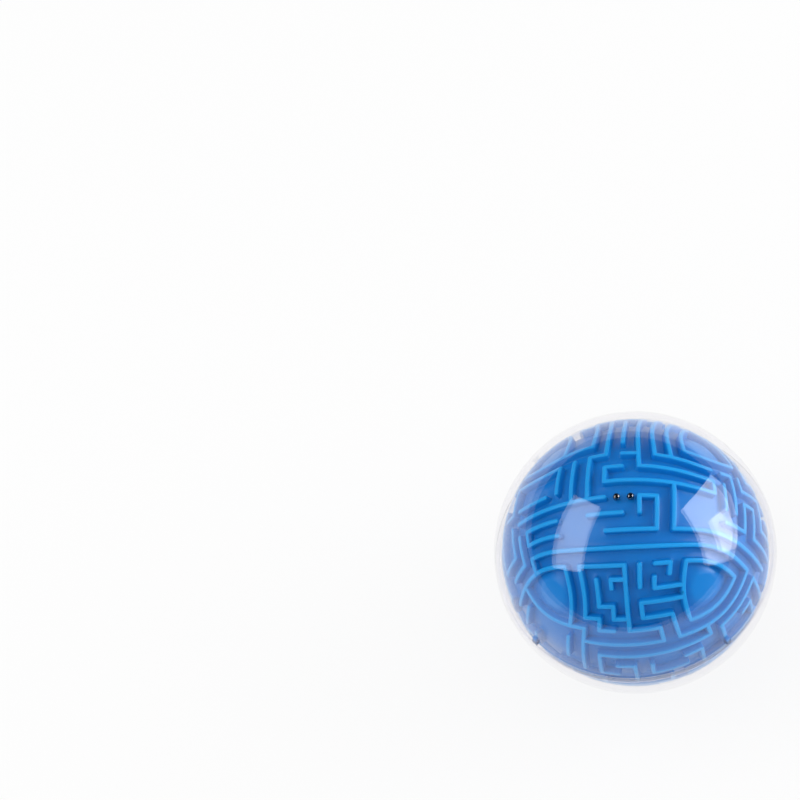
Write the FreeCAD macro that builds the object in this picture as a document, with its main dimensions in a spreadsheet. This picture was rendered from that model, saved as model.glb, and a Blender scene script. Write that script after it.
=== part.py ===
import FreeCAD, Part
import math
import os
from FreeCAD import Vector

# Maze ball puzzle.
#
# A hollow moulded ball carries a maze of raised ribs.  It is made in two halves and sits
# inside a clear shell, also in two halves.  Steel balls run in the corridors between the
# ribs, under the shell.  The seam of both pairs of halves lies in the plane z = 0.
#
# Frame: origin at the centre of the ball, +Z through the middle of the start field.
# Lengths are in millimetres and angles in degrees.

doc = FreeCAD.newDocument("MazeBall")

# ---------------------------------------------------------------- driving dimensions
sheet = doc.addObject("Spreadsheet::Sheet", "Dims")

DIMENSIONS = [
    ("shell_radius", 47.5, "outer radius of the clear shell"),
    ("shell_wall", 2.3, "wall of the clear shell"),
    ("rib_clearance", 0.25, "gap between the rib tops and the shell"),
    ("corridor_play", 0.15, "free width beside a ball in the narrowest corridor"),
    ("post_margin", 0.06, "how far a rib's round end stands past its sides"),
    ("ball_diameter", 2.5, "steel ball, a standard bearing size"),
    ("ball_play", 0.3, "free height over a ball lying on the corridor floor"),
    ("core_wall", 2.2, "wall of the hollow maze ball"),
    ("pad_height", 0.9, "rise of the smooth pad inside each island"),
    ("pad_angle", 8.0, "half angle of an island pad seen from the centre"),
    ("island_angle", 30.0, "angle from a field's centre to the islands' near side"),
    ("island_bow", 0.118, "how much the islands' sides bow outwards"),
    ("lip_depth", 3.0, "reach of the maze ball's locating lip past the seam"),
    ("lip_wall", 1.4, "wall of the locating lip"),
    ("lip_gap", 0.15, "gap round the locating lip"),
    ("step_depth", 1.5, "reach of the upper shell's rim past the seam"),
    ("step_gap", 0.05, "gap round the stepped rim"),
    ("key_width", 1.6, "width of a key"),
    ("key_angle", 42.0, "angle of each key from the middle of its side field"),
    ("key_height", 2.0, "half height of a key, measured from the seam"),
    ("key_reach", 0.8, "how far a key enters the shell wall"),
    ("key_gap", 0.1, "gap round a key"),
    ("ball_1_place", -0.3, "first steel ball, in field cells from the Z axis towards +X"),
    ("ball_2_place", 0.5, "second steel ball, in field cells from the Z axis towards +X"),
]

for row, (alias, value, meaning) in enumerate(DIMENSIONS, start=1):
    sheet.set("A%d" % row, alias)
    sheet.set("B%d" % row, str(value))
    sheet.set("C%d" % row, meaning)
    sheet.setAlias("B%d" % row, alias)
doc.recompute()


def dim(alias):
    return float(sheet.get(alias))


shell_radius = dim("shell_radius")
shell_inner = shell_radius - dim("shell_wall")
rib_top = shell_inner - dim("rib_clearance")
floor_radius = shell_inner - dim("ball_diameter") - dim("ball_play")
core_inner = floor_radius - dim("core_wall")
track_radius = shell_inner - (dim("ball_play") + dim("ball_diameter")) / 2
rib_root = floor_radius - dim("core_wall") / 4
island_angle = dim("island_angle")
island_bow = dim("island_bow")

# ---------------------------------------------------------------- the maze grid
# The ball's surface is divided like a cube into six fields.  A field's grid lines run from
# -6 to 6 in each direction and its edge is at 6.5.  Lines 0 to 4 share the angle up to the
# islands, and five equal cells lie between line 4 of one field and line 4 of the next.
FIELD_CELLS = 4
BELT_CELLS = 5
EDGE = FIELD_CELLS + BELT_CELLS / 2
LAST_LINE = int(EDGE)

# Each field: the directions of its first and second grid coordinate, and its centre.
FIELDS = {
    "top": (Vector(1, 0, 0), Vector(0, 1, 0), Vector(0, 0, 1)),
    "front": (Vector(1, 0, 0), Vector(0, 0, 1), Vector(0, -1, 0)),
    "back": (Vector(-1, 0, 0), Vector(0, 0, 1), Vector(0, 1, 0)),
    "right": (Vector(0, 1, 0), Vector(0, 0, 1), Vector(1, 0, 0)),
    "left": (Vector(0, -1, 0), Vector(0, 0, 1), Vector(-1, 0, 0)),
    "bottom": (Vector(1, 0, 0), Vector(0, -1, 0), Vector(0, 0, -1)),
}

# Rib runs, in grid coordinates of their field.  A run that reaches 6.5 goes on in the next
# field.
RUNS = {
    "top": [
        [(-1, EDGE), (-1, 3), (-2, 3), (-2, 0)],
        [(-3, 3), (-3, 0)],
        [(-EDGE, 0), (-1, 0)],
        [(0, EDGE), (0, 4)],
        [(1, EDGE), (1, 2), (6, 2), (6, 1)],
        [(0, 3), (1, 3)],
        [(0, 2), (-1, 2), (-1, 1), (6, 1)],
        [(2, EDGE), (2, 3), (6, 3)],
        [(3, EDGE), (3, 3)],
        [(1, -1), (1, 0), (2, 0), (2, -2), (-1, -2)],
        [(3, 1), (3, -2), (EDGE, -2)],
        [(0, -1), (-2, -1)],
        [(-4, -1), (-EDGE, -1)],
        [(-4, -2), (-EDGE, -2)],
        [(-EDGE, -3), (EDGE, -3)],
        [(-3, -EDGE), (-3, -4), (0, -4), (0, -EDGE)],
        [(0, -5), (-1, -5), (-1, -5.6)],
        [(1, -4), (1, -5.6)],
        [(2, -4), (3, -4), (3, -4.8)],
        [(2, -5), (2, -5.8), (4, -5.8)],
        [(-2, -5), (-2, -EDGE)],
        [(-4, 1), (-4, 3), (-EDGE, 3)],
        [(-5, 1), (-EDGE, 1)],
        [(-2, EDGE), (-2, 4), (-4, 4)],
    ],
    "front": [
        [(0, EDGE), (0, 4), (2, 4), (2, 3), (-3, 3)],
        [(-4, 4), (-3, 4), (-3, 0)],
        [(-3, EDGE), (-3, 5), (-2, 5), (-2, 4), (-1, 4)],
        [(-2, EDGE), (-2, 6), (-1, 6), (-1, 5), (0, 5)],
        [(4, 6.2), (1, 6.2), (1, 5), (3, 5), (3, 3), (EDGE, 3)],
        [(5, 3), (5, 2), (-2, 2), (-2, 0), (-1, 0)],
        [(-1, 1), (0, 1), (0, -1)],
        [(1, 1), (1, 0), (3, 0)],
        [(-4, 3), (-4, 1)],
        [(EDGE, 2), (6, 2), (6, -1)],
        [(3, 1), (4, 1), (4, -1), (EDGE, -1)],
        [(2, -1), (2, -2), (-2, -2), (-2, -1), (-5, -1)],
        [(-4, -2), (-4, -3), (1, -3)],
        [(3, -2), (5, -2)],
        [(3, -3), (5, -3)],
        [(-EDGE, -3), (-5, -3)],
        [(-3, -EDGE), (-3, -4)],
        [(0, -4), (0, -EDGE)],
        [(-2, -5), (-1, -5), (-1, -6)],
        [(1, -4), (3, -4), (3, -5)],
        [(2, -EDGE), (2, -5)],
    ],
    "back": [
        [(-3, EDGE), (-3, 2), (-5, 2)],
        [(-2, EDGE), (-2, 3)],
        [(-1, EDGE), (-1, 3), (1, 3)],
        [(0, EDGE), (0, 5)],
        [(1, EDGE), (1, 4), (2, 4)],
        [(2, EDGE), (2, 5), (3, 5), (3, 2)],
        [(-5, 3), (-EDGE, 3)],
        [(-2, 2), (2, 2), (2, 0), (4, 0)],
        [(-1, 1), (1, 1), (1, -1)],
        [(-5, 1), (-2, 1), (-2, -1), (0, -1), (0, 0)],
        [(4, 2), (4, 1), (EDGE, 1)],
        [(6, 1), (6, -1)],
        [(3, -1), (3, -2), (-3, -2), (-3, 0), (-5, 0)],
        [(5, -1), (5, -3), (1, -3)],
        [(-1, -3), (-5, -3), (-5, -1), (-4, -1)],
        [(-1, -EDGE), (-1, -4), (1, -4), (1, -5)],
        [(2, -EDGE), (2, -5), (3, -5), (3, -4)],
        [(-3, -EDGE), (-3, -4), (-2, -4), (-2, -5)],
        [(EDGE, -2), (6, -2)],
    ],
    "right": [
        [(-3, EDGE), (-3, 3), (-EDGE, 3)],
        [(-EDGE, 2), (-3, 2), (-3, -2)],
        [(-2, EDGE), (-2, 1)],
        [(-1, 6), (-1, 4), (1, 4), (1, 3), (-1, 3), (-1, 0)],
        [(0, 6), (2, 6)],
        [(0, 5), (3, 5), (3, 6)],
        [(3, 4), (2, 4), (2, 2), (0, 2), (0, 0)],
        [(EDGE, 3), (3, 3), (3, 1)],
        [(1, 1), (1, -1), (-2, -1), (-2, -2)],
        [(6, 1), (6, -1)],
        [(-5, 1), (-4, 1), (-4, -1), (-EDGE, -1)],
        [(2, 0), (5, 0), (5, -2), (3, -2)],
        [(2, -1), (2, -3), (6, -3)],
        [(0, -2), (0, -3), (-4, -3)],
        [(-2, -EDGE), (-2, -4), (1, -4), (1, -6)],
        [(-1, -5), (0, -5), (0, -EDGE)],
        [(3, -EDGE), (3, -5), (2, -5)],
        [(-3, -EDGE), (-3, -4)],
    ],
    "left": [
        [(-1, EDGE), (-1, 5)],
        [(0, EDGE), (0, 5)],
        [(1, EDGE), (1, 6), (2, 6), (2, EDGE)],
        [(3, EDGE), (3, 6), (4, 6)],
        [(1, 5), (3, 5), (3, 3)],
        [(4, 4), (4, 2)],
        [(5, 3), (5, 1)],
        [(-3, EDGE), (-3, 4), (-1, 4), (-1, 3)],
        [(0, 4), (2, 4), (2, 2), (-2, 2)],
        [(-5, 3), (-3, 3)],
        [(-4, 2), (-4, 0), (-1, 0), (-1, 1)],
        [(0, 1), (3, 1), (3, -1)],
        [(-EDGE, 1), (-5, 1), (-5, -1)],
        [(6, 1), (6, -1)],
        [(0, 0), (1, 0), (1, -2), (5, -2), (5, 0), (6, 0)],
        [(-3, -1), (0, -1), (0, -3)],
        [(-EDGE, -2), (-2, -2), (-2, -3)],
        [(2, -3), (EDGE, -3)],
        [(-3, -EDGE), (-3, -4), (-1, -4), (-1, -5)],
        [(0, -EDGE), (0, -5), (2, -5), (2, -4)],
        [(3, -EDGE), (3, -5)],
    ],
    "bottom": [
        [(-3, EDGE), (-3, 4), (-1, 4), (-1, 5)],
        [(0, EDGE), (0, 3), (3, 3), (3, 5)],
        [(2, EDGE), (2, 4)],
        [(EDGE, 3), (4, 3), (4, 1)],
        [(EDGE, 2), (5, 2), (5, 1)],
        [(EDGE, 0), (3, 0), (3, 2), (1, 2)],
        [(EDGE, -3), (4, -3), (4, -1), (2, -1), (2, 1), (0, 1)],
        [(-EDGE, 3), (-2, 3), (-2, 1), (-1, 1)],
        [(-EDGE, 0), (-4, 0), (-4, 2)],
        [(-3, 2), (-3, -1), (-1, -1), (-1, 0), (1, 0)],
        [(-EDGE, -3), (-3, -3), (-3, -5)],
        [(-5, -1), (-5, -2), (-1, -2), (-1, -4)],
        [(1, -EDGE), (1, -3), (3, -3)],
        [(-2, -EDGE), (-2, -4)],
        [(3, -EDGE), (3, -5), (2, -5), (2, -4)],
        [(0, -2), (3, -2)],
        [(0, -5), (0, -6)],
    ],
}


# A rib's outline is straight between points at most this far apart, in radians.
MAX_CHORD = math.radians(12)


def line_slope(index):
    """Tangent of the angle between a field's centre and one of its grid lines."""
    cells = min(abs(index), FIELD_CELLS)
    belt = abs(index) - cells
    belt_angle = 90 - 2 * island_angle
    angle = island_angle * cells / FIELD_CELLS + belt_angle * belt / BELT_CELLS
    return math.copysign(math.tan(math.radians(angle)), index)


def belt_share(slope):
    """How far a slope lies past the islands' near side, 0 there and 1 at the edge."""
    near = math.tan(math.radians(island_angle))
    return max(0, (abs(slope) - near) / (1 - near))


def direction(field, first, second):
    """Unit vector from the ball's centre to a grid point."""
    along_first, along_second, centre = FIELDS[field]
    slope_1 = line_slope(first)
    slope_2 = line_slope(second)
    share_1 = belt_share(slope_1)
    share_2 = belt_share(slope_2)
    bowed_1 = slope_1 * (1 + island_bow * share_2 ** 2 * (1 - share_1))
    bowed_2 = slope_2 * (1 + island_bow * share_1 ** 2 * (1 - share_2))
    aim = centre + along_first * bowed_1 + along_second * bowed_2
    return aim.normalize()


def closest_ribs():
    """Least distance between neighbouring ribs, at the height of a ball's centre.

    It is measured in the middle of each cell of a quarter field, outside the island, and
    across the cell that the field shares with the next one.
    """
    gaps = []
    for line in range(LAST_LINE):
        for row in range(LAST_LINE):
            if line >= FIELD_CELLS and row >= FIELD_CELLS:
                continue
            rib = direction("top", line, row).cross(direction("top", line, row + 1))
            beside = direction("top", line + 1, row + 0.5)
            gaps.append(abs(rib.normalize().dot(beside)))
    edge_plane = Vector(1, 0, -1).normalize()
    for row in range(FIELD_CELLS):
        gaps.append(2 * abs(edge_plane.dot(direction("top", LAST_LINE, row + 0.5))))
    return track_radius * min(gaps)


rib_width = closest_ribs() - dim("ball_diameter") - dim("corridor_play")
post_radius = rib_width / 2 + dim("post_margin")


def leg_points(start, end):
    """Grid points along a straight leg: its ends, and enough between to follow a bow."""
    axis = 0 if start[0] != end[0] else 1
    low, high = sorted((start[axis], end[axis]))
    half_belt = (FIELD_CELLS + EDGE) / 2
    breaks = [-half_belt, -FIELD_CELLS, FIELD_CELLS, half_belt]
    stops = [low] + [b for b in breaks if low < b < high] + [high]
    if start[axis] > end[axis]:
        stops.reverse()
    points = []
    for stop in stops:
        point = list(start)
        point[axis] = stop
        points.append(tuple(point))
    return points


def rib_plate(start, end, root, top, width):
    """A flat-sided rib along the great circle between two unit vectors."""
    normal = start.cross(end).normalize()
    span = start.getAngle(end)
    steps = max(1, math.ceil(span / MAX_CHORD))
    half_step = math.cos(span / steps / 2)
    inner = []
    outer = []
    for step in range(steps + 1):
        aim = FreeCAD.Rotation(normal, math.degrees(span * step / steps)).multVec(start)
        inner.append(aim * root)
        outer.append(aim * (top / half_step))
    outline = inner + outer[::-1] + inner[:1]
    face = Part.Face(Part.makePolygon(outline))
    face.translate(normal * (-width / 2))
    return face.extrude(normal * width)


def rib_post(aim, root, top):
    """The round end or corner of a rib."""
    return Part.makeCylinder(post_radius, top - root, aim * root, aim)


def island_runs():
    """The two sides of every island that lie in one field."""
    runs = []
    for side_1 in (-1, 1):
        for side_2 in (-1, 1):
            near_1 = side_1 * FIELD_CELLS
            near_2 = side_2 * FIELD_CELLS
            runs.append([(near_1, side_2 * EDGE), (near_1, near_2), (side_1 * EDGE, near_2)])
    return runs


def rib_solids():
    """Every rib plate and post of the maze, tall enough to be trimmed to the rib height."""
    over = rib_top + rib_width
    posts = {}
    plates = []
    for field in FIELDS:
        for run in RUNS[field] + island_runs():
            for leg_start, leg_end in zip(run, run[1:]):
                aims = [direction(field, *stop) for stop in leg_points(leg_start, leg_end)]
                for aim in aims:
                    posts[tuple(round(value, 4) for value in aim)] = aim
                for aim, after in zip(aims, aims[1:]):
                    plates.append(rib_plate(aim, after, rib_root, over, rib_width))
    return plates + [rib_post(aim, rib_root, over) for aim in posts.values()]


def island_pads():
    """The smooth pad in the middle of each island, one for each corner of the fields."""
    pads = []
    half_angle = math.radians(dim("pad_angle"))
    pad_top = floor_radius + dim("pad_height")
    for side_x in (-1, 1):
        for side_y in (-1, 1):
            for side_z in (-1, 1):
                aim = Vector(side_x, side_y, side_z).normalize()
                cone = Part.makeCone(
                    rib_root * math.tan(half_angle),
                    shell_radius * math.tan(half_angle),
                    shell_radius - rib_root,
                    aim * rib_root,
                    aim,
                )
                pads.append(cone.common(Part.makeSphere(pad_top)))
    return pads


def key_solids():
    """The keys that stand on the ribs at the seam and lock the maze ball to the shell."""
    keys = []
    rise = math.degrees(math.asin(dim("key_height") / shell_inner))
    for field in ("front", "right", "back", "left"):
        along, up, centre = FIELDS[field]
        turn = math.radians(dim("key_angle"))
        outward = centre * math.cos(turn) + along * math.sin(turn)
        low = outward * math.cos(math.radians(rise)) - up * math.sin(math.radians(rise))
        high = outward * math.cos(math.radians(rise)) + up * math.sin(math.radians(rise))
        top = shell_inner + dim("key_reach")
        keys.append(rib_plate(low, high, rib_root, top, dim("key_width")))
    return keys


def maze_ball():
    """The whole maze ball, before it is split at the seam."""
    solids = rib_solids()
    ribs = solids[0].multiFuse(solids[1:])
    ribs = ribs.common(Part.makeSphere(rib_top))
    core = Part.makeSphere(floor_radius).cut(Part.makeSphere(core_inner))
    ball = core.multiFuse([ribs] + island_pads() + key_solids())
    return ball


def maze_half(ball, side):
    """One half of the maze ball: 1 for the upper half, -1 for the lower half."""
    span = 2 * shell_radius
    base = -span if side > 0 else 0
    half = ball.cut(Part.makeBox(2 * span, 2 * span, span, Vector(-span, -span, base)))
    if side > 0:
        half = half.fuse(locating_lip())
    return half


def locating_lip():
    """The ring inside the upper half that enters the lower half."""
    depth = dim("lip_depth")
    outer = math.sqrt(core_inner ** 2 - depth ** 2) - dim("lip_gap")
    inner = outer - dim("lip_wall")
    root = core_inner + dim("core_wall") / 2
    below = Part.makeCylinder(outer, depth, Vector(0, 0, -depth))
    above = Part.makeCylinder(root, depth, Vector(0, 0, 0))
    bore = Part.makeCylinder(inner, 3 * depth, Vector(0, 0, -depth * 1.5))
    return below.fuse(above).cut(bore)


def solid_of(shape):
    """The single solid in a shape, cleaned of seams between coplanar faces."""
    solids = shape.removeSplitter().Solids
    return max(solids, key=lambda solid: solid.Volume)


# ---------------------------------------------------------------- the clear shell
INNER = "Dims.shell_radius - Dims.shell_wall"
MIDDLE = "Dims.shell_radius - Dims.shell_wall / 2"


def primitive(kind, name, **values):
    item = doc.addObject(kind, name)
    for key, expression in values.items():
        item.setExpression(key.replace("__", "."), expression)
    return item


def boolean(kind, name, base, tool):
    item = doc.addObject(kind, name)
    item.Base = base
    item.Tool = tool
    return item


def key_notches(name):
    """Boxes that clear the keys, one for each side field, as one compound."""
    boxes = []
    for number in range(4):
        box = primitive(
            "Part::Box",
            "%s_notch_%d" % (name, number + 1),
            Length="Dims.key_reach + Dims.key_gap + 3 * Dims.rib_clearance",
            Width="Dims.key_width + 2 * Dims.key_gap",
            Height="2 * (Dims.key_height + Dims.key_gap)",
        )
        turn = "(%d + Dims.key_angle)" % (90 * number)
        radius = "(Dims.shell_radius - Dims.shell_wall - 3 * Dims.rib_clearance)"
        half = "(Dims.key_width / 2 + Dims.key_gap)"
        spin = turn + " * 1 deg"
        box.setExpression(
            "Placement.Base.x",
            "%s * cos(%s) + %s * sin(%s)" % (radius, spin, half, spin),
        )
        box.setExpression(
            "Placement.Base.y",
            "%s * sin(%s) - %s * cos(%s)" % (radius, spin, half, spin),
        )
        box.setExpression("Placement.Base.z", "-(Dims.key_height + Dims.key_gap)")
        box.Placement.Rotation = FreeCAD.Rotation(Vector(0, 0, 1), 0)
        box.setExpression("Placement.Rotation.Angle", spin)
        boxes.append(box)
    group = doc.addObject("Part::Compound", "%s_notches" % name)
    group.Links = boxes
    return group


def shell_half(name, low, high):
    dome = primitive("Part::Sphere", name + "_dome", Radius="Dims.shell_radius")
    dome.Angle1 = low
    dome.Angle2 = high
    hollow = primitive("Part::Sphere", name + "_hollow", Radius=INNER)
    return boolean("Part::Cut", name + "_bowl", dome, hollow)


upper_bowl = shell_half("upper", 0, 90)
rim = primitive(
    "Part::Cylinder", "upper_rim", Radius=MIDDLE, Height="Dims.step_depth",
    Placement__Base__z="-Dims.step_depth",
)
rim_bore = primitive(
    "Part::Cylinder", "upper_rim_bore", Radius=INNER, Height="2 * Dims.step_depth",
    Placement__Base__z="-1.5 * Dims.step_depth",
)
rim_ring = boolean("Part::Cut", "upper_rim_ring", rim, rim_bore)
upper_full = boolean("Part::Fuse", "upper_with_rim", upper_bowl, rim_ring)
shell_upper = boolean("Part::Cut", "shell_upper", upper_full, key_notches("upper"))

lower_bowl = shell_half("lower", -90, 0)
recess = primitive(
    "Part::Cylinder", "lower_recess",
    Radius=MIDDLE + " + Dims.step_gap",
    Height="2 * Dims.step_depth + 2 * Dims.step_gap",
    Placement__Base__z="-Dims.step_depth - Dims.step_gap",
)
lower_full = boolean("Part::Cut", "lower_with_recess", lower_bowl, recess)
shell_lower = boolean("Part::Cut", "shell_lower", lower_full, key_notches("lower"))

# ---------------------------------------------------------------- the steel balls
TRACK = (
    "(Dims.shell_radius - Dims.shell_wall - Dims.ball_play / 2 - Dims.ball_diameter / 2)"
)


def steel_ball(number):
    angle = "Dims.ball_%d_place * Dims.island_angle / %d * 1 deg" % (number, FIELD_CELLS)
    return primitive(
        "Part::Sphere", "steel_ball_%d" % number,
        Radius="Dims.ball_diameter / 2",
        Placement__Base__x="%s * sin(%s)" % (TRACK, angle),
        Placement__Base__z="%s * cos(%s)" % (TRACK, angle),
    )


steel_ball_1 = steel_ball(1)
steel_ball_2 = steel_ball(2)

# ---------------------------------------------------------------- the maze ball
maze_upper = doc.addObject("Part::Feature", "maze_upper")
whole_ball = maze_ball()
maze_upper.Shape = solid_of(maze_half(whole_ball, 1))
maze_lower = doc.addObject("Part::Feature", "maze_lower")
maze_lower.Shape = solid_of(maze_half(whole_ball, -1))

# ---------------------------------------------------------------- check and write
doc.recompute()

PARTS = {
    "shell_upper": shell_upper,
    "shell_lower": shell_lower,
    "maze_upper": maze_upper,
    "maze_lower": maze_lower,
    "steel_ball_1": steel_ball_1,
    "steel_ball_2": steel_ball_2,
}

for item in doc.Objects:
    if "Invalid" in item.State or "Error" in item.State:
        raise RuntimeError("%s did not build: %s" % (item.Name, item.State))

os.makedirs("parts", exist_ok=True)
for node, item in PARTS.items():
    item.Label = node
    shape = item.Shape
    if shape.isNull() or not shape.isValid():
        raise RuntimeError("%s has no valid shape" % node)
    if len(shape.Solids) != 1:
        raise RuntimeError("%s is %d solids, not one" % (node, len(shape.Solids)))
    shape.exportStep("parts/%s.step" % node)
    print(node, round(shape.Volume, 1), len(shape.Faces))
print("rib width", round(rib_width, 3))
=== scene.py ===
"""Maze ball puzzle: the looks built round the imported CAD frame."""
import math

import bpy
import bmesh
import numpy as np
from mathutils import Matrix, Vector


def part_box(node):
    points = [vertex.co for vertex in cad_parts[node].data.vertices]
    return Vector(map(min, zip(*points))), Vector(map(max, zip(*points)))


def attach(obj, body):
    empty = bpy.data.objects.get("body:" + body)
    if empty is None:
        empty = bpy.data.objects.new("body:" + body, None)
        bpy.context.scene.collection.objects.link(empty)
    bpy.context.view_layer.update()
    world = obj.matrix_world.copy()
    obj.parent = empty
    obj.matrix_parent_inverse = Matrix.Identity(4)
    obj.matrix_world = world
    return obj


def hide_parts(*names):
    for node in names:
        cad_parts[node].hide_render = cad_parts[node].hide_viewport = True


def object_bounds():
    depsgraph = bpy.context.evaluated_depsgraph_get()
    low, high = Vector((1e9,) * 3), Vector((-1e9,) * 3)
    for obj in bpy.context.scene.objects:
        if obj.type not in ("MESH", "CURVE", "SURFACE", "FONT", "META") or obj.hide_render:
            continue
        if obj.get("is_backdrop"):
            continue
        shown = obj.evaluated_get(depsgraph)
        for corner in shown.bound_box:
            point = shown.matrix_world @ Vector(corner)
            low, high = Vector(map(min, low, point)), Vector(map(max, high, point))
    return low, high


MM = 0.001

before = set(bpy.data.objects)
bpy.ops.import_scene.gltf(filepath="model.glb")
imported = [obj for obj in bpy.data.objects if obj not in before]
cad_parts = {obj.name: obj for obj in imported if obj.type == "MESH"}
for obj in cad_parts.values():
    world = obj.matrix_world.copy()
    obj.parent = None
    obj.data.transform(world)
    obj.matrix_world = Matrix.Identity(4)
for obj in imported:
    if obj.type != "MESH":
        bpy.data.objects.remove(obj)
cad_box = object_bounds()

# ---------------------------------------------------------------- sizes, in millimetres
SHELL_OUTER = max(abs(value) for corner in cad_box for value in corner) / MM
SHELL_WALL = 2.3
SHELL_INNER = SHELL_OUTER - SHELL_WALL
SHELL_MIDDLE = (SHELL_OUTER + SHELL_INNER) / 2
STEP_DEPTH = 1.5
STEP_GAP = 0.05
SEAM_SOFTENING = 0.12             # of a shell's outer edge at the seam
BALL_LOW, BALL_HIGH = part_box("steel_ball_1")
BALL_DIAMETER = (BALL_HIGH[0] - BALL_LOW[0]) / MM
BALL_PLAY = 0.3
RIB_CLEARANCE = 0.25
RIB_TOP = SHELL_INNER - RIB_CLEARANCE
RIB_WIDTH = 1.594                 # what part.py works out from the narrowest corridor
FLOOR = SHELL_INNER - BALL_DIAMETER - BALL_PLAY
CORE_WALL = 2.2
CORE_INNER = FLOOR - CORE_WALL
LIP_DEPTH = 3.0
LIP_GAP = 0.15
LIP_WALL = 1.4
LIP_OUTER = math.sqrt(CORE_INNER ** 2 - LIP_DEPTH ** 2) - LIP_GAP
LIP_INNER = LIP_OUTER - LIP_WALL
PAD_RISE = 0.9
PAD_ANGLE = 11.5                  # from an island's middle to the foot of its pad
PAD_SLOPE_ANGLE = 6.0             # over which the pad rises
KEY_ANGLE = 42.0
KEY_HALF_HEIGHT = 2.0
KEY_HALF_WIDTH = 0.8
KEY_REACH = 0.8                   # how far a key stands in the shell wall
KEY_TOP = SHELL_INNER + KEY_REACH
KEY_ROOT = FLOOR - 0.5
KEY_SOFTENING = 0.25

# ---------------------------------------------------------------- the maze grid
# Six fields, as on a cube; lines -6 to 6 each way, edge at 6.5; lines 0 to 4 are spread
# evenly up to the islands, then five cells to the next field's line 4.
FIELD_CELLS = 4
LAST_LINE = 6
EDGE = 6.5
ISLAND_ANGLE = 30.0
BELT_PITCH = 6.0
ISLAND_BOW = 0.118
NEAR = math.tan(math.radians(ISLAND_ANGLE))

FIELDS = {
    "top": ((1, 0, 0), (0, 1, 0), (0, 0, 1)),
    "front": ((1, 0, 0), (0, 0, 1), (0, -1, 0)),
    "back": ((-1, 0, 0), (0, 0, 1), (0, 1, 0)),
    "right": ((0, 1, 0), (0, 0, 1), (1, 0, 0)),
    "left": ((0, -1, 0), (0, 0, 1), (-1, 0, 0)),
    "bottom": ((1, 0, 0), (0, -1, 0), (0, 0, -1)),
}
AROUND = ("front", "right", "back", "left")

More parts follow.
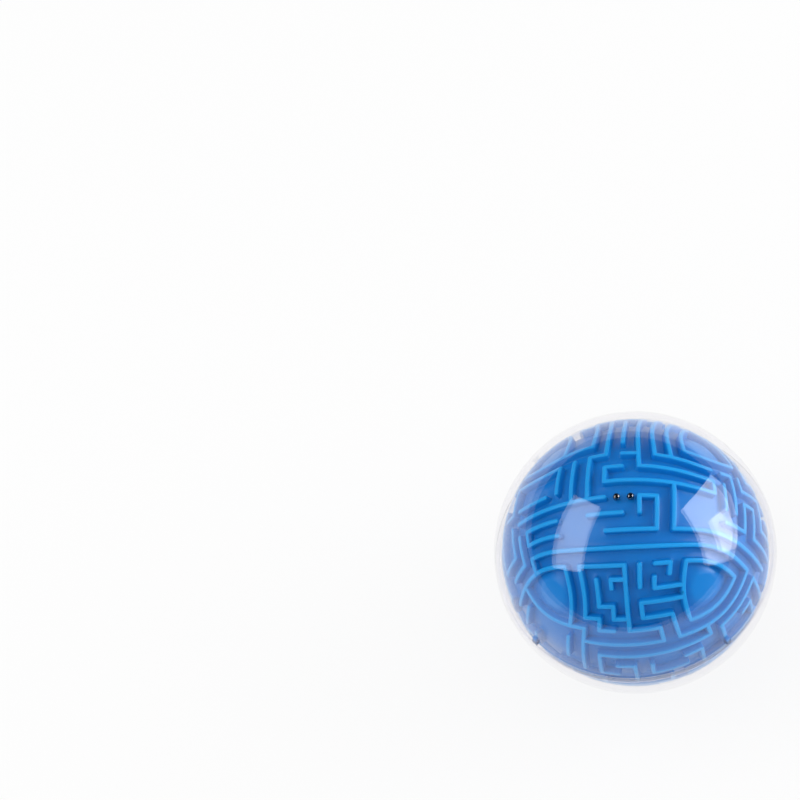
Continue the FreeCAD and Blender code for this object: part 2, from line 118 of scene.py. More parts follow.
RUNS = {
    "top": [
        [(-1, EDGE), (-1, 3), (-2, 3), (-2, 0)],
        [(-3, 3), (-3, 0)],
        [(-EDGE, 0), (-1, 0)],
        [(0, EDGE), (0, 4)],
        [(1, EDGE), (1, 2), (6, 2), (6, 1)],
        [(0, 3), (1, 3)],
        [(0, 2), (-1, 2), (-1, 1), (6, 1)],
        [(2, EDGE), (2, 3), (6, 3)],
        [(3, EDGE), (3, 3)],
        [(1, -1), (1, 0), (2, 0), (2, -2), (-1, -2)],
        [(3, 1), (3, -2), (EDGE, -2)],
        [(0, -1), (-2, -1)],
        [(-4, -1), (-EDGE, -1)],
        [(-4, -2), (-EDGE, -2)],
        [(-EDGE, -3), (EDGE, -3)],
        [(-3, -EDGE), (-3, -4), (0, -4), (0, -EDGE)],
        [(0, -5), (-1, -5), (-1, -6)],
        [(1, -4), (1, -6)],
        [(2, -4), (3, -4), (3, -5)],
        [(2, -5), (2, -6), (4, -6)],
        [(-2, -5), (-2, -EDGE)],
        [(-4, 1), (-4, 3), (-EDGE, 3)],
        [(-5, 1), (-EDGE, 1)],
        [(-2, EDGE), (-2, 4), (-4, 4)],
    ],
    "front": [
        [(0, EDGE), (0, 4), (2, 4), (2, 3), (-3, 3)],
        [(-4, 4), (-3, 4), (-3, 0)],
        [(-3, EDGE), (-3, 5), (-2, 5), (-2, 4), (-1, 4)],
        [(-2, EDGE), (-2, 6), (-1, 6), (-1, 5), (0, 5)],
        [(4, 6), (1, 6), (1, 5), (3, 5), (3, 3), (EDGE, 3)],
        [(5, 3), (5, 2), (-2, 2), (-2, 0), (-1, 0)],
        [(-1, 1), (0, 1), (0, -1)],
        [(1, 1), (1, 0), (3, 0)],
        [(-4, 3), (-4, 1)],
        [(EDGE, 2), (6, 2), (6, -1)],
        [(3, 1), (4, 1), (4, -1), (EDGE, -1)],
        [(2, -1), (2, -2), (-2, -2), (-2, -1), (-5, -1)],
        [(-4, -2), (-4, -3), (1, -3)],
        [(3, -2), (5, -2)],
        [(3, -3), (5, -3)],
        [(-EDGE, -3), (-5, -3)],
        [(-3, -EDGE), (-3, -4)],
        [(0, -4), (0, -EDGE)],
        [(-2, -5), (-1, -5), (-1, -6)],
        [(1, -4), (3, -4), (3, -5)],
        [(2, -EDGE), (2, -5)],
    ],
    "back": [
        [(-3, EDGE), (-3, 2), (-5, 2)],
        [(-2, EDGE), (-2, 3)],
        [(-1, EDGE), (-1, 3), (1, 3)],
        [(0, EDGE), (0, 5)],
        [(1, EDGE), (1, 4), (2, 4)],
        [(2, EDGE), (2, 5), (3, 5), (3, 2)],
        [(-5, 3), (-EDGE, 3)],
        [(-2, 2), (2, 2), (2, 0), (4, 0)],
        [(-1, 1), (1, 1), (1, -1)],
        [(-5, 1), (-2, 1), (-2, -1), (0, -1), (0, 0)],
        [(4, 2), (4, 1), (EDGE, 1)],
        [(6, 1), (6, -1)],
        [(3, -1), (3, -2), (-3, -2), (-3, 0), (-5, 0)],
        [(5, -1), (5, -3), (1, -3)],
        [(-1, -3), (-5, -3), (-5, -1), (-4, -1)],
        [(-1, -EDGE), (-1, -4), (1, -4), (1, -5)],
        [(2, -EDGE), (2, -5), (3, -5), (3, -4)],
        [(-3, -EDGE), (-3, -4), (-2, -4), (-2, -5)],
        [(EDGE, -2), (6, -2)],
    ],
    "right": [
        [(-3, EDGE), (-3, 3), (-EDGE, 3)],
        [(-EDGE, 2), (-3, 2), (-3, -2)],
        [(-2, EDGE), (-2, 1)],
        [(-1, 6), (-1, 4), (1, 4), (1, 3), (-1, 3), (-1, 0)],
        [(0, 6), (2, 6)],
        [(0, 5), (3, 5), (3, 6)],
        [(3, 4), (2, 4), (2, 2), (0, 2), (0, 0)],
        [(EDGE, 3), (3, 3), (3, 1)],
        [(1, 1), (1, -1), (-2, -1), (-2, -2)],
        [(6, 1), (6, -1)],
        [(-5, 1), (-4, 1), (-4, -1), (-EDGE, -1)],
        [(2, 0), (5, 0), (5, -2), (3, -2)],
        [(2, -1), (2, -3), (6, -3)],
        [(0, -2), (0, -3), (-4, -3)],
        [(-2, -EDGE), (-2, -4), (1, -4), (1, -6)],
        [(-1, -5), (0, -5), (0, -EDGE)],
        [(3, -EDGE), (3, -5), (2, -5)],
        [(-3, -EDGE), (-3, -4)],
    ],
    "left": [
        [(-1, EDGE), (-1, 5)],
        [(0, EDGE), (0, 5)],
        [(1, EDGE), (1, 6), (2, 6), (2, EDGE)],
        [(3, EDGE), (3, 6), (4, 6)],
        [(1, 5), (3, 5), (3, 3)],
        [(4, 4), (4, 2)],
        [(5, 3), (5, 1)],
        [(-3, EDGE), (-3, 4), (-1, 4), (-1, 3)],
        [(0, 4), (2, 4), (2, 2), (-2, 2)],
        [(-5, 3), (-3, 3)],
        [(-4, 2), (-4, 0), (-1, 0), (-1, 1)],
        [(0, 1), (3, 1), (3, -1)],
        [(-EDGE, 1), (-5, 1), (-5, -1)],
        [(6, 1), (6, -1)],
        [(0, 0), (1, 0), (1, -2), (5, -2), (5, 0), (6, 0)],
        [(-3, -1), (0, -1), (0, -3)],
        [(-EDGE, -2), (-2, -2), (-2, -3)],
        [(2, -3), (EDGE, -3)],
        [(-3, -EDGE), (-3, -4), (-1, -4), (-1, -5)],
        [(0, -EDGE), (0, -5), (2, -5), (2, -4)],
        [(3, -EDGE), (3, -5)],
    ],
    "bottom": [
        [(-3, EDGE), (-3, 4), (-1, 4), (-1, 5)],
        [(0, EDGE), (0, 3), (3, 3), (3, 5)],
        [(2, EDGE), (2, 4)],
        [(EDGE, 3), (4, 3), (4, 1)],
        [(EDGE, 2), (5, 2), (5, 1)],
        [(EDGE, 0), (3, 0), (3, 2), (1, 2)],
        [(EDGE, -3), (4, -3), (4, -1), (2, -1), (2, 1), (0, 1)],
        [(-EDGE, 3), (-2, 3), (-2, 1), (-1, 1)],
        [(-EDGE, 0), (-4, 0), (-4, 2)],
        [(-3, 2), (-3, -1), (-1, -1), (-1, 0), (1, 0)],
        [(-EDGE, -3), (-3, -3), (-3, -5)],
        [(-5, -1), (-5, -2), (-1, -2), (-1, -4)],
        [(1, -EDGE), (1, -3), (3, -3)],
        [(-2, -EDGE), (-2, -4)],
        [(3, -EDGE), (3, -5), (2, -5), (2, -4)],
        [(0, -2), (3, -2)],
        [(0, -5), (0, -6)],
    ],
}

# Grid nodes that stand off their line: a few short ribs end between two lines.
NUDGES = {
    ("top", -1, -6): -5.6,
    ("top", 1, -6): -5.6,
    ("top", 3, -5): -4.8,
    ("top", 2, -6): -5.8,
    ("top", 3, -6): -5.8,
    ("top", 4, -6): -5.8,
    ("front", 1, 6): 6.2,
    ("front", 2, 6): 6.2,
    ("front", 3, 6): 6.2,
    ("front", 4, 6): 6.2,
}

# A rib's cross section: distance from its middle line, and radius there.  The top is
# rounded, the sides have draft and there is a fillet at the foot.
RIB_HALF = RIB_WIDTH / 2
FOOT_EDGE = RIB_HALF + 0.06
SECTION = [
    (0.0, RIB_TOP),
    (0.30 * RIB_HALF, RIB_TOP - 0.008),
    (0.58 * RIB_HALF, RIB_TOP - 0.045),
    (0.80 * RIB_HALF, RIB_TOP - 0.13),
    (0.94 * RIB_HALF, RIB_TOP - 0.28),
    (RIB_HALF, RIB_TOP - 0.50),
    (FOOT_EDGE, FLOOR + 0.38),
    (FOOT_EDGE + 0.11, FLOOR + 0.12),
    (FOOT_EDGE + 0.34, FLOOR),
]
HALF = len(SECTION)               # mesh steps in half a cell
FLOOR_STRIP = HALF - 1


def slope(index):
    """Tangent of the angle between a field's centre and its grid lines."""
    size = np.abs(index)
    angle = np.where(
        size <= FIELD_CELLS,
        size * ISLAND_ANGLE / FIELD_CELLS,
        ISLAND_ANGLE + (size - FIELD_CELLS) * BELT_PITCH,
    )
    return np.sign(index) * np.tan(np.radians(angle))


def belt_share(value):
    """How far a slope lies past the islands' near side, 0 there and 1 at the edge."""
    return np.clip((np.abs(value) - NEAR) / (1 - NEAR), 0, 1)


def directions(field, grid):
    """Unit vectors to grid points of a field; grid is an array of pairs."""
    along_1, along_2, centre = (np.array(v, float) for v in FIELDS[field])
    slope_1, slope_2 = slope(grid[..., 0]), slope(grid[..., 1])
    share_1, share_2 = belt_share(slope_1), belt_share(slope_2)
    bowed_1 = slope_1 * (1 + ISLAND_BOW * share_2 ** 2 * (1 - share_1))
    bowed_2 = slope_2 * (1 + ISLAND_BOW * share_1 ** 2 * (1 - share_2))
    aim = centre + bowed_1[..., None] * along_1 + bowed_2[..., None] * along_2
    return aim / np.linalg.norm(aim, axis=-1, keepdims=True)


# ---------------------------------------------------------------- which grid edges hold a rib
NODES = 2 * LAST_LINE + 3         # the field's edge, its lines, and its other edge
MIDDLE_NODE = NODES // 2
LAST_CELL = NODES - 2


def island_runs():
    """The ribs round a field's four island corners."""
    near = FIELD_CELLS
    return [
        [(a * near, b * EDGE), (a * near, b * near), (a * EDGE, b * near)]
        for a in (-1, 1) for b in (-1, 1)
    ]


def node_of(line):
    """The number of the node on a line; the field's edges are the first and last."""
    if abs(line) < EDGE:
        return line + MIDDLE_NODE
    return 0 if line < 0 else NODES - 1


def rib_edges(field):
    """Two tables: a rib from node (i, j) to (i+1, j), and one from (i, j) to (i, j+1)."""
    first = np.zeros((NODES, NODES), bool)
    second = np.zeros((NODES, NODES), bool)
    for run in RUNS[field] + island_runs():
        for start, end in zip(run, run[1:]):
            i0, j0 = node_of(start[0]), node_of(start[1])
            i1, j1 = node_of(end[0]), node_of(end[1])
            if i0 == i1:
                second[i0, min(j0, j1):max(j0, j1)] = True
            else:
                first[min(i0, i1):max(i0, i1), j0] = True
    return first, second


def node_grid(field):
    """Where a field's nodes stand, in lines, with the few that stand off their line."""
    line = np.array([-EDGE, *range(-LAST_LINE, LAST_LINE + 1), EDGE], float)
    grid = np.stack(np.meshgrid(line, line, indexing="ij"), -1)
    for (name, i, j), place in NUDGES.items():
        if name == field:
            grid[i + MIDDLE_NODE, j + MIDDLE_NODE, 1] = place
    return grid


def angle_between(a, b):
    return np.arccos(np.clip((a * b).sum(-1), -1, 1))


# ---------------------------------------------------------------- one field of the moulding
SIDE = LAST_CELL * 2 * HALF + 1   # mesh points along a field
MOST_SKEW = 0.95                  # cosine of the sharpest crossing that is allowed for
FAR = 9.0                         # a distance past every rib
CROSSING_ROUNDS = 4


def strip_layout():
    """For each mesh line along a field: its cell, its nearest node and its strip."""
    rows = []
    for node in range(1, LAST_CELL + 1):
        for strip in range(-HALF, HALF):
            rows.append((node - 1 if strip < 0 else node, node, abs(strip)))
    rows.append((LAST_CELL, LAST_CELL, HALF))
    return np.array(rows)


LAYOUT = strip_layout()


def cell_fractions(length, sine):
    """Where each mesh line crosses a row of nodes, as a share of its cell.

    length holds the angles between neighbouring nodes and sine the sines at the nodes.
    """
    angles = np.array([d / r for d, r in SECTION])
    cell, node, strip = LAYOUT.T
    full = (cell > 0) & (cell < LAST_CELL)
    offset = angles[np.minimum(strip, FLOOR_STRIP)][:, None] / sine[node] / length[cell]
    offset = np.where((strip == HALF)[:, None], np.where(full, 0.5, 1.0)[:, None], offset)
    return np.where((node > cell)[:, None], 1 - offset, offset)


def field_mesh(field):
    """Directions and radii of a field's mesh points, and how much of a rib each is."""
    grid = node_grid(field)
    aims = directions(field, grid)
    length_1 = angle_between(aims[1:], aims[:-1])
    length_2 = angle_between(aims[:, 1:], aims[:, :-1])
    along_1 = np.gradient(aims, axis=0)
    along_2 = np.gradient(aims, axis=1)
    along_1 /= np.linalg.norm(along_1, axis=-1, keepdims=True)
    along_2 /= np.linalg.norm(along_2, axis=-1, keepdims=True)
    skew = np.clip((along_1 * along_2).sum(-1), -MOST_SKEW, MOST_SKEW)
    sine = np.sqrt(1 - skew ** 2)
    sine[[0, -1], :] = 1
    sine[:, [0, -1]] = 1

    cross_1 = cell_fractions(length_1, sine)              # [mesh line, node row]
    cross_2 = cell_fractions(length_2.T, sine.T)
    cell, node, strip = LAYOUT.T
    c1, c2 = np.meshgrid(cell, cell, indexing="ij")
    p, q = np.meshgrid(np.arange(SIDE), np.arange(SIDE), indexing="ij")
    u = cross_1[p, c2]
    v = cross_2[q, c1]
    for _ in range(CROSSING_ROUNDS):
        u_next = cross_1[p, c2] * (1 - v) + cross_1[p, c2 + 1] * v
        v = cross_2[q, c1] * (1 - u) + cross_2[q, c1 + 1] * u
        u = u_next

    # which ribs reach the nearest node, in the direction of this quarter
    first, second = rib_edges(field)
    n1, n2 = np.meshgrid(node, node, indexing="ij")
    s1, s2 = np.meshgrid(strip, strip, indexing="ij")
    side_1 = np.where(c1 == n1, 1, -1)
    side_2 = np.where(c2 == n2, 1, -1)
    rib_1 = np.where(side_1 > 0, first[n1, n2], first[n1 - 1, n2])
    rib_2 = np.where(side_2 > 0, second[n1, n2], second[n1, n2 - 1])
    touched = (
        first[n1 - 1, n2] | first[n1, n2] | second[n1, n2 - 1] | second[n1, n2]
    )

    # distances from the rib lines, as strips, with round ends and outer corners
    distance = np.array([d for d, r in SECTION] + [FAR])
    d1, d2 = distance[s1], distance[s2]
    round_here = touched & ~rib_1 & ~rib_2
    strip_here = np.full(d1.shape, HALF)
    strip_here = np.where(rib_1, np.minimum(strip_here, s2), strip_here)
    strip_here = np.where(rib_2, np.minimum(strip_here, s1), strip_here)
    ring = np.maximum(s1, s2)
    strip_here = np.where(round_here, ring, strip_here)

    # the mesh is bent to circles round such ends, so that its lines follow the rib's side
    big = np.maximum(d1, d2)
    bend = round_here & (ring < HALF) & (ring > 0)
    shrink = np.where(bend, big / np.maximum(np.hypot(d1, d2), 1e-9), 1.0)
    reach = np.array([d / r for d, r in SECTION] + [0.0])
    delta_1 = reach[s1] * (shrink - 1) / (sine[n1, n2] * length_1[c1, n2])
    delta_2 = reach[s2] * (shrink - 1) / (sine[n1, n2] * length_2[n1, c2])
    u = u + np.where(bend, delta_1 * side_1, 0)
    v = v + np.where(bend, delta_2 * side_2, 0)

    corner = [grid[c1 + a, c2 + b] for a, b in ((0, 0), (1, 0), (0, 1), (1, 1))]
    u, v = u[..., None], v[..., None]
    place = (
        corner[0] * (1 - u) * (1 - v) + corner[1] * u * (1 - v)
        + corner[2] * (1 - u) * v + corner[3] * u * v
    )
    aim = directions(field, place)

    radii = np.array([r for d, r in SECTION] + [FLOOR])
    radius = radii[strip_here]

    # the islands are filled with a smooth low pad
    corner_angle = angle_between(aim, np.sign(aim) / math.sqrt(3))
    inside = (np.abs(place) > FIELD_CELLS).all(-1)
    room = (math.radians(PAD_ANGLE) - corner_angle) / math.radians(PAD_SLOPE_ANGLE)
    room = np.clip(room, 0, 1)
    rise = PAD_RISE * room * room * (3 - 2 * room)
    radius = np.where(inside & (strip_here >= FLOOR_STRIP), radius + rise, radius)
    return aim, radius, (radius - FLOOR) / (RIB_TOP - FLOOR)


FIELD_MESHES = {field: field_mesh(field) for field in FIELDS}


# ---------------------------------------------------------------- helpers for pieces
WELD = 1e-7         # metres


def add_object(name, data):
    """An object for a mesh, lamp or camera, linked into the scene."""
    item = bpy.data.objects.new(name, data)
    bpy.context.collection.objects.link(item)
    return item


def object_from(name, work):
    """A smooth mesh object from a bmesh, which is freed."""
    mesh = bpy.data.meshes.new(name)
    work.to_mesh(mesh)
    work.free()
    mesh.shade_smooth()
    return add_object(name, mesh)


def new_object(name, points, faces):
    """A smooth mesh object in metres from points in millimetres."""
    mesh = bpy.data.meshes.new(name)
    mesh.from_pydata([tuple(p) for p in np.asarray(points, float) * MM], [], faces)
    mesh.validate()
    mesh.shade_smooth()
    return add_object(name, mesh)


def weld(item, distance):
    """Join points that meet, and turn all faces outwards."""
    work = bmesh.new()
    work.from_mesh(item.data)
    bmesh.ops.remove_doubles(work, verts=work.verts, dist=distance)
    bmesh.ops.recalc_face_normals(work, faces=work.faces)
    work.to_mesh(item.data)
    work.free()


# ---------------------------------------------------------------- the maze halves
MIDDLE_LINE = SIDE // 2
INSIDE_FIRST = 10                 # latitude of the lower half's first inside ring
INSIDE_LAST = 88
INSIDE_RINGS = 9


def maze_half(name, upper):
    """One moulded half: its ribbed outside, its rim at the seam and its hollow inside."""
    points, faces, height = [], [], []
    loops = []
    count = 0
    for field, (aim, radius, share) in FIELD_MESHES.items():
        if field == ("bottom" if upper else "top"):
            continue
        if field in AROUND:
            low = MIDDLE_LINE if upper else 0
            high = SIDE if upper else MIDDLE_LINE + 1
        else:
            low, high = 0, SIDE
        aim, radius, share = aim[:, low:high], radius[:, low:high], share[:, low:high]
        rows, columns = aim.shape[:2]
        place = (aim * radius[..., None]).reshape(-1, 3)
        if field in AROUND:
            seam_column = 0 if upper else columns - 1
            index = np.arange(rows) * columns + seam_column
            place[index, 2] = 0
            loops.append(count + index[:-1])
        points.append(place)
        height.append(share.reshape(-1))
        a = np.arange(rows - 1)[:, None] * columns + np.arange(columns - 1) + count
        a = a.ravel()
        faces.append(np.stack([a, a + columns, a + columns + 1, a + 1], -1))
        count += rows * columns
    points = np.concatenate(points)
    height = np.concatenate(height)
    faces = np.concatenate(faces)
    loop = np.concatenate(loops)

    # the rim and the inside, as rings under each point of the seam loop
    azimuth = np.arctan2(points[loop, 1], points[loop, 0])
    around = np.stack([np.cos(azimuth), np.sin(azimuth), 0 * azimuth], -1)
    sign = 1 if upper else -1
    rings = []
    if upper:
        rings += [
            (LIP_OUTER, 0), (LIP_OUTER, -LIP_DEPTH),
            (LIP_INNER, -LIP_DEPTH), (LIP_INNER, LIP_DEPTH),
        ]
        first = math.degrees(math.asin(LIP_DEPTH / CORE_INNER))
    else:
        rings += [(CORE_INNER, 0)]
        first = INSIDE_FIRST
    for latitude in np.linspace(first, INSIDE_LAST, INSIDE_RINGS):
        turn = math.radians(latitude)
        rings.append((CORE_INNER * math.cos(turn), sign * CORE_INNER * math.sin(turn)))
    size = len(loop)
    before = loop
    extra, extra_faces = [], []
    for radius, level in rings:
        ring = around * radius
        ring[:, 2] = level
        index = count + np.arange(size)
        extra.append(ring)
        quads = [before, np.roll(before, -1), np.roll(index, -1), index]
        extra_faces.append(np.stack(quads, -1))
        before = index
        count += size
    extra.append(np.array([[0, 0, sign * CORE_INNER]]))
    pole = count
    points = np.concatenate([points] + extra)
    height = np.concatenate([height, np.zeros(len(points) - len(height))])
    faces = np.concatenate([faces] + extra_faces).tolist()
    after = np.roll(before, -1)
    faces += [(int(a), int(b), pole) for a, b in zip(before, after)]

    item = new_object(name, points, faces)
    # the height over the corridor floor, by which moulded_blue paints shade into the corridors
    layer = item.data.attributes.new("rib_height", "FLOAT", "POINT")
    layer.data.foreach_set("value", height.astype(np.float32))
    weld(item, 2 * WELD)
    return item


def key_block(azimuth, upper):
    """A key: a small block from under the corridor floor into the shell wall."""
    work = bmesh.new()
    bmesh.ops.create_cube(work, size=1)
    for vert in work.verts:
        x = (KEY_ROOT + KEY_TOP) / 2 + vert.co.x * (KEY_TOP - KEY_ROOT)
        y = vert.co.y * 2 * KEY_HALF_WIDTH
        z = (vert.co.z + 0.5) * KEY_HALF_HEIGHT * (1 if upper else -1)
        vert.co = Vector((x, y, z)) * MM
    bmesh.ops.bevel(
        work, geom=work.edges[:], offset=KEY_SOFTENING * MM,
        segments=3, profile=0.5, affect="EDGES",
    )
    turn = Matrix.Rotation(azimuth, 3, "Z")
    bmesh.ops.rotate(work, cent=(0, 0, 0), matrix=turn, verts=work.verts)
    return work


def seam_keys(name, upper):
    """One maze half's four keys, a quarter turn apart."""
    whole = bmesh.new()
    for quarter in range(4):
        azimuth = math.radians(90 * quarter + KEY_ANGLE)
        block = key_block(azimuth, upper)
        scratch = bpy.data.meshes.new("scratch")
        block.to_mesh(scratch)
        block.free()
        whole.from_mesh(scratch)
        bpy.data.meshes.remove(scratch)
    bmesh.ops.recalc_face_normals(whole, faces=whole.faces)
    return object_from(name, whole)


# ---------------------------------------------------------------- the clear shell
SEGMENTS = 256
ARC_POINTS = 91


def lathe(name, profile):
    """A closed cap turned about Z; profile is a list of (radius, height)."""
    turn = np.linspace(0, 2 * math.pi, SEGMENTS, endpoint=False)
    points, rows = [], []
    for radius, level in profile:
        if radius < 1e-6:
            rows.append([len(points)] * SEGMENTS)
            points.append((0, 0, level))
        else:
            rows.append(list(range(len(points), len(points) + SEGMENTS)))
            points += [(radius * math.cos(a), radius * math.sin(a), level) for a in turn]
    faces = []
    for low, high in zip(rows, rows[1:] + rows[:1]):
        for k in range(SEGMENTS):
            n = (k + 1) % SEGMENTS
            face = [low[k], low[n], high[n], high[k]]
            face = [p for m, p in enumerate(face) if p not in face[:m]]
            if len(face) > 2:
                faces.append(face)
    item = new_object(name, points, faces)
    weld(item, WELD)
    return item


def arc(radius, start, end):
    """Points of a circle about the origin, by latitude in degrees."""
    return [
        (radius * math.cos(math.radians(a)), radius * math.sin(math.radians(a)))
        for a in np.linspace(start, end, ARC_POINTS)
    ]


def shell_profile(upper):
    """A half shell's outline: its outside up to the pole, its inside back, and its rim."""
    seam = [
        (SHELL_OUTER - SEAM_SOFTENING, 0),
        (SHELL_OUTER - SEAM_SOFTENING * 0.7, SEAM_SOFTENING * 0.2),
    ]
    outer = arc(SHELL_OUTER, math.degrees(SEAM_SOFTENING / SHELL_OUTER), 90)
    outer[-1] = (0, SHELL_OUTER)
    if upper:
        inner_end = 0
        rim = [
            (SHELL_INNER, -STEP_DEPTH), (SHELL_MIDDLE, -STEP_DEPTH), (SHELL_MIDDLE, 0),
        ]
    else:
        step = STEP_DEPTH + STEP_GAP
        inner_end = math.degrees(math.asin(step / SHELL_INNER))
        rim = [(SHELL_MIDDLE + STEP_GAP, step), (SHELL_MIDDLE + STEP_GAP, 0)]
    inner = arc(SHELL_INNER, 90, inner_end)
    inner[0] = (0, SHELL_INNER)
    sign = 1 if upper else -1
    return [(radius, sign * level) for radius, level in seam + outer + inner + rim]


# ---------------------------------------------------------------- materials
def material(name, colour, roughness, **inputs):
    """A Principled material; an input's name has _ for each space."""
    mat = bpy.data.materials.new(name)
    mat.use_nodes = True
    shader = mat.node_tree.nodes["Principled BSDF"]
    shader.inputs["Base Color"].default_value = (*colour, 1)
    shader.inputs["Roughness"].default_value = roughness
    for key, value in inputs.items():
        shader.inputs[key.replace("_", " ")].default_value = value
    return mat


def link(mat, out_socket, in_socket):
    mat.node_tree.links.new(out_socket, in_socket)


def node(mat, kind, **settings):
    item = mat.node_tree.nodes.new(kind)
    for key, value in settings.items():
        setattr(item, key, value)
    return item


def noise(mat, scale, detail=2):
    """Noise over the object's own coordinates, 0 to 1."""
    place = node(mat, "ShaderNodeTexCoord")
    item = node(mat, "ShaderNodeTexNoise")
    item.inputs["Scale"].default_value = scale
    item.inputs["Detail"].default_value = detail
    link(mat, place.outputs["Object"], item.inputs["Vector"])
    return item.outputs["Fac"]


def spread(mat, value, low, high):
    """A value of 0 to 1 made to run from low to high."""
    item = node(mat, "ShaderNodeMapRange")
    item.inputs["To Min"].default_value = low
    item.inputs["To Max"].default_value = high
    link(mat, value, item.inputs["Value"])
    return item.outputs["Result"]


def bump(mat, height, strength, distance, shader):
    """Small unevenness of a shader's surface; distance is in metres."""
    item = node(mat, "ShaderNodeBump")
    item.inputs["Strength"].default_value = strength
    item.inputs["Distance"].default_value = distance
    link(mat, height, item.inputs["Height"])
    link(mat, item.outputs["Normal"], shader.inputs["Normal"])


def moulded_blue():
    """Glossy blue styrene, with faint flow and skin; its colour carries painted shade, darker
    down in the corridors and lighter on the rib tops.
    """
    mat = material("moulded_blue", (0.02, 0.3, 0.8), 0.3, IOR=1.5, Specular_IOR_Level=0.32)
    shader = mat.node_tree.nodes["Principled BSDF"]
    height = node(mat, "ShaderNodeAttribute", attribute_name="rib_height")
    flow = noise(mat, 45, 3)
    # painted shade: the colour runs from a darker blue on the corridor floors, where shade
    # falls, to a lighter blue on the rib tops
    ramp = node(mat, "ShaderNodeValToRGB")
    shaded_floor_end, top_end = ramp.color_ramp.elements
    shaded_floor_end.position, shaded_floor_end.color = 0.0, (0.001, 0.172, 0.53, 1)
    top_end.position, top_end.color = 1.0, (0.006, 0.30, 0.70, 1)
    ramp.color_ramp.elements.new(0.75).color = (0.003, 0.225, 0.62, 1)
    total = node(mat, "ShaderNodeMath", operation="ADD")
    link(mat, height.outputs["Fac"], total.inputs[0])
    link(mat, spread(mat, flow, -0.06, 0.06), total.inputs[1])
    link(mat, total.outputs[0], ramp.inputs["Fac"])
    link(mat, ramp.outputs["Color"], shader.inputs["Base Color"])
    bump(mat, noise(mat, 900), 0.05, 0.0002, shader)
    link(mat, spread(mat, flow, 0.24, 0.36), shader.inputs["Roughness"])
    return mat


def clear_plastic():
    """Clear styrene: see-through, faintly grey, with a polished surface that reflects more
    towards the rim, and the very slight waviness of a moulded shell."""
    mat = bpy.data.materials.new("clear_plastic")
    mat.use_nodes = True
    mat.node_tree.nodes.clear()
    out = node(mat, "ShaderNodeOutputMaterial")
    body = node(mat, "ShaderNodeBsdfTransparent")
    body.inputs["Color"].default_value = (0.958, 0.955, 0.966, 1)
    polish = node(mat, "ShaderNodeBsdfGlossy")
    polish.inputs["Color"].default_value = (1, 1, 1, 1)
    polish.inputs["Roughness"].default_value = 0.03
    # reflection grows with the fifth power of how edge-on the surface is, as on real plastic
    facing = node(mat, "ShaderNodeLayerWeight")
    facing.inputs["Blend"].default_value = 0.5
    steep = node(mat, "ShaderNodeMath", operation="POWER")
    steep.inputs[1].default_value = 5
    mix = node(mat, "ShaderNodeMixShader")
    bump(mat, noise(mat, 38), 0.10, 0.0006, polish)
    link(mat, facing.outputs["Facing"], steep.inputs[0])
    link(mat, spread(mat, steep.outputs[0], 0.04, 1.0), mix.inputs["Fac"])
    link(mat, body.outputs[0], mix.inputs[1])
    link(mat, polish.outputs[0], mix.inputs[2])
    link(mat, mix.outputs[0], out.inputs["Surface"])
    return mat


def ball_steel():
    """Polished bearing steel, seen dark because it mirrors the studio's dark ceiling."""
    mat = material("bearing_steel", (0.30, 0.295, 0.295), 0.06, Metallic=1.0)
    shader = mat.node_tree.nodes["Principled BSDF"]
    link(mat, spread(mat, noise(mat, 1400), 0.03, 0.10), shader.inputs["Roughness"])
    return mat


BLUE = moulded_blue()
CLEAR = clear_plastic()
STEEL = ball_steel()


def wear(item, mat):
    item.data.materials.clear()
    item.data.materials.append(mat)


# ---------------------------------------------------------------- the pieces
def place_piece(item, body, mat, slot, *nodes):
    """Give a piece its material and body, and hide the CAD nodes it stands for."""
    wear(item, mat)
    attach(item, body)
    if nodes:
        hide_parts(*nodes)


maze_upper = maze_half("maze_upper_moulding", True)
maze_lower = maze_half("maze_lower_moulding", False)
place_piece(maze_upper, "puzzle", BLUE, "blue_plastic", "maze_upper")
place_piece(maze_lower, "puzzle", BLUE, "blue_plastic", "maze_lower")
place_piece(seam_keys("maze_upper_keys", True), "puzzle", BLUE, "blue_plastic")
place_piece(seam_keys("maze_lower_keys", False), "puzzle", BLUE, "blue_plastic")

shell_upper = lathe("shell_upper_clear", shell_profile(True))
shell_lower = lathe("shell_lower_clear", shell_profile(False))
place_piece(shell_upper, "puzzle", CLEAR, "clear_shell", "shell_upper")
place_piece(shell_lower, "puzzle", CLEAR, "clear_shell", "shell_lower")

for number in (1, 2):
    source = "steel_ball_%d" % number
    low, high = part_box(source)
    centre = (Vector(low) + Vector(high)) / 2
    radius = (high[0] - low[0]) / 2
    work = bmesh.new()
    bmesh.ops.create_icosphere(work, subdivisions=5, radius=radius)
    bmesh.ops.translate(work, vec=centre, verts=work.verts)
    ball = object_from("bearing_ball_%d" % number, work)
    place_piece(ball, "ball_%d" % number, STEEL, "steel", source)

# ---------------------------------------------------------------- floor, light and camera
FLOOR_REACH = 3                   # metres each way
floor_mesh = bpy.data.meshes.new("floor")
floor_mesh.from_pydata(
    [(a * FLOOR_REACH, b * FLOOR_REACH, 0) for a, b in ((-1, -1), (1, -1), (1, 1), (-1, 1))],
    [], [(0, 1, 2, 3)],
)
floor = add_object("floor", floor_mesh)
floor.location.z = -SHELL_OUTER * MM
wear(floor, material(
    "floor_white", (0.07, 0.07, 0.07), 0.9, Emission_Color=(1, 1, 1, 1), Emission_Strength=0.86,
))
floor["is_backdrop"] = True

# The view, in degrees: the camera's place round the ball, from the front field towards the
# right, its height above the seam and its roll, and how far off the middle of the picture
# the ball's centre stands.
CAMERA_AZIMUTH = 11.57
CAMERA_ELEVATION = 64.73
CAMERA_ROLL = -13.45
BALL_TO_THE_RIGHT = 3.415
BALL_BELOW = 2.213
LENS = 177.3
SENSOR = 36
DISTANCE = 28 * SHELL_OUTER * MM
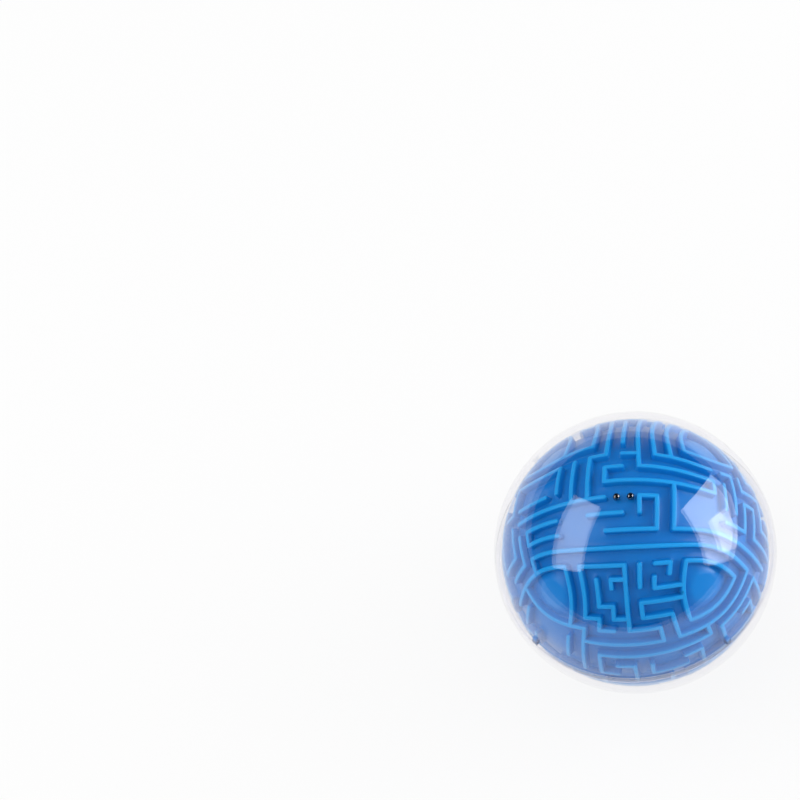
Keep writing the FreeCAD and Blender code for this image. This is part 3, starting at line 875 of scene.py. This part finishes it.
CAMERA_AXES = (
    Matrix.Rotation(math.radians(CAMERA_AZIMUTH), 3, "Z")
    @ Matrix.Rotation(math.radians(90 - CAMERA_ELEVATION), 3, "X")
    @ Matrix.Rotation(math.radians(CAMERA_ROLL), 3, "Z")
)
RIGHT, UP, BACK = (CAMERA_AXES.col[k].copy() for k in range(3))
SOFT_LIGHT = 1.15                 # strength of the surroundings


def studio():
    """Soft white light all round, except that mirrors see a dark ceiling."""
    world = bpy.data.worlds.new("studio")
    bpy.context.scene.world = world
    world.use_nodes = True
    sky = world.node_tree.nodes["Background"]
    sky.inputs["Color"].default_value = (1, 1, 1, 1)
    path = node(world, "ShaderNodeLightPath")
    place = node(world, "ShaderNodeTexCoord")
    towards = node(world, "ShaderNodeVectorMath", operation="DOT_PRODUCT")
    towards.inputs[1].default_value = BACK
    ceiling = node(world, "ShaderNodeMapRange")
    ceiling.inputs["From Min"].default_value = -1.0
    ceiling.inputs["From Max"].default_value = -0.2
    ceiling.inputs["To Min"].default_value = 0.06
    ceiling.inputs["To Max"].default_value = 0.01
    mix = node(world, "ShaderNodeMix")
    mix.inputs[2].default_value = SOFT_LIGHT
    link(world, place.outputs["Generated"], towards.inputs[0])
    link(world, towards.outputs["Value"], ceiling.inputs["Value"])
    link(world, path.outputs["Is Glossy Ray"], mix.inputs[0])
    link(world, ceiling.outputs[0], mix.inputs[3])
    link(world, mix.outputs[0], sky.inputs["Strength"])


studio()


def lamp(name, yaw, pitch, width, height, distance, radiance, roll):
    """A softbox facing the ball, yaw to the right of the camera and pitch above it."""
    yaw, pitch = math.radians(yaw), math.radians(pitch)
    data = bpy.data.lights.new(name, "AREA")
    data.shape = "RECTANGLE"
    data.size, data.size_y = width, height
    data.energy = radiance * math.pi * width * height
    item = add_object(name, data)
    level = RIGHT * math.sin(yaw) + BACK * math.cos(yaw)
    way = (level * math.cos(pitch) + UP * math.sin(pitch)).normalized()
    side = UP.cross(way).normalized()
    axes = Matrix((side, way.cross(side), way)).transposed()
    item.location = way * distance
    item.rotation_mode = "QUATERNION"
    axes = axes @ Matrix.Rotation(math.radians(roll), 3, "Z")
    item.rotation_quaternion = axes.to_quaternion()
    item.visible_camera = False


lamp(
    "left_softbox", yaw=-53, pitch=13, roll=-10,
    width=0.50, height=0.98, distance=1.0, radiance=2.6,
)
lamp(
    "right_softbox", yaw=77, pitch=19, roll=14,
    width=0.92, height=0.90, distance=1.0, radiance=3.6,
)
lamp(
    "right_softbox_core", yaw=80, pitch=13, roll=14,
    width=0.34, height=0.40, distance=0.97, radiance=4.0,
)

camera_data = bpy.data.cameras.new("camera")
camera_data.sensor_width = SENSOR
camera_data.lens = LENS
camera_data.clip_start, camera_data.clip_end = 0.05, 20
camera = add_object("camera", camera_data)
# the ball stands off the middle of the picture, so the camera turns a little past it
seen = Vector((
    math.tan(math.radians(BALL_TO_THE_RIGHT)), -math.tan(math.radians(BALL_BELOW)), -1,
))
turn = seen.normalized().rotation_difference(Vector((0, 0, -1)))
camera.rotation_mode = "QUATERNION"
camera.rotation_quaternion = CAMERA_AXES.to_quaternion() @ turn
camera.location = BACK * DISTANCE
bpy.context.scene.camera = camera
bpy.context.scene.view_settings.view_transform = "Standard"

low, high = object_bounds()
